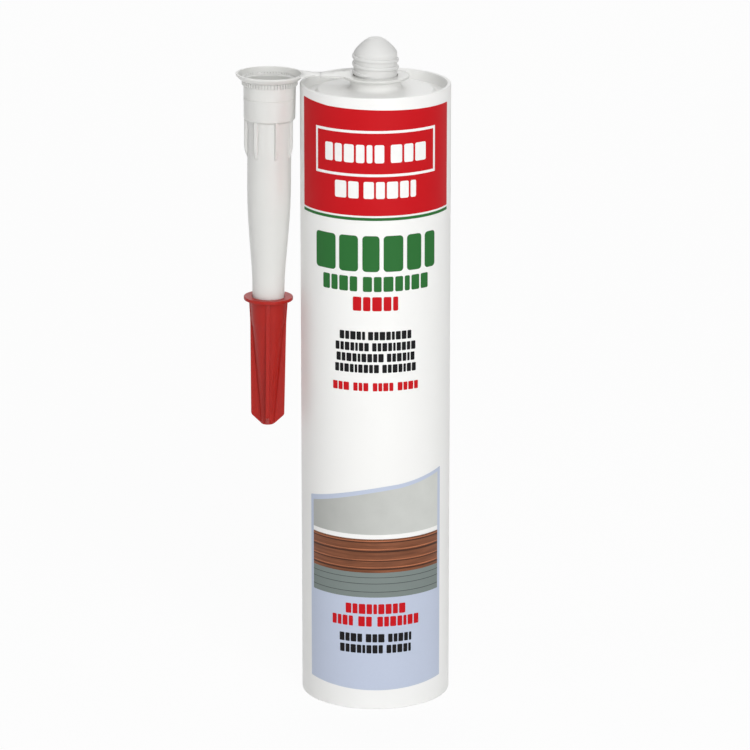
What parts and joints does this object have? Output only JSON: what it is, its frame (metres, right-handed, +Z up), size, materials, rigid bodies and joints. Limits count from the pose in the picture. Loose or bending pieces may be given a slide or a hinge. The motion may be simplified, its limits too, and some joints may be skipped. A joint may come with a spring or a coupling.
{
  "type": "sealant cartridge",
  "caption": "Upright sealant cartridge with printed fields, a threaded neck, a nozzle hung from the neck on a strap, a finned nozzle cap, and a follower and paste inside.",
  "frame": {"origin": "centre of the barrel's open base, in the plane that the cartridge stands on", "axes": "+Z up along the barrel to the neck, -X towards the hanging nozzle, -Y towards the printed front"},
  "size_m": [0.0726, 0.0513, 0.2304],
  "materials": {
    "cartridge_white": "moulded HDPE, soft satin",
    "nozzle_white": "moulded LDPE, slightly milky",
    "cap_red": "soft moulded LDPE",
    "piston_natural": "natural moulded LDPE",
    "sealant_white": "smooth paste",
    "print_red": "printed ink",
    "print_green": "printed ink",
    "print_pale_blue": "printed ink",
    "print_grey_green": "printed ink",
    "print_brown": "printed ink",
    "print_white": "printed ink",
    "print_pale_grey": "printed ink",
    "print_black": "printed ink"
  },
  "bodies": {
    "cartridge": {"cartridge": "cartridge_white", "sealant": "sealant_white", "print_red_field": "print_red", "print_green_line": "print_green", "print_blue_field": "print_pale_blue", "print_floor": "print_grey_green", "print_board": "print_brown", "print_bead": "print_white", "print_wall": "print_pale_grey", "print_white_marks": "print_white", "print_green_marks": "print_green", "print_red_marks": "print_red", "print_black_marks": "print_black"},
    "nozzle": {"nozzle": "nozzle_white"},
    "cap": {"nozzle_cap": "cap_red"},
    "piston": {"piston": "piston_natural"}
  },
  "joints": [
    {"name": "nozzle_swing", "type": "hinge", "parent": "cartridge", "child": "nozzle", "pos_m": [0, 0, 0.21775], "axis": [0, 0, 1], "continuous": true},
    {"name": "cap_pull", "type": "slide", "parent": "nozzle", "child": "cap", "axis": [-0.0122, 0, -0.9999], "range_m": [0, 0.046]},
    {"name": "piston_slide", "type": "slide", "parent": "cartridge", "child": "piston", "axis": [0, 0, 1], "range_m": [0, 0.168], "deforming": ["sealant"]}
  ]
}
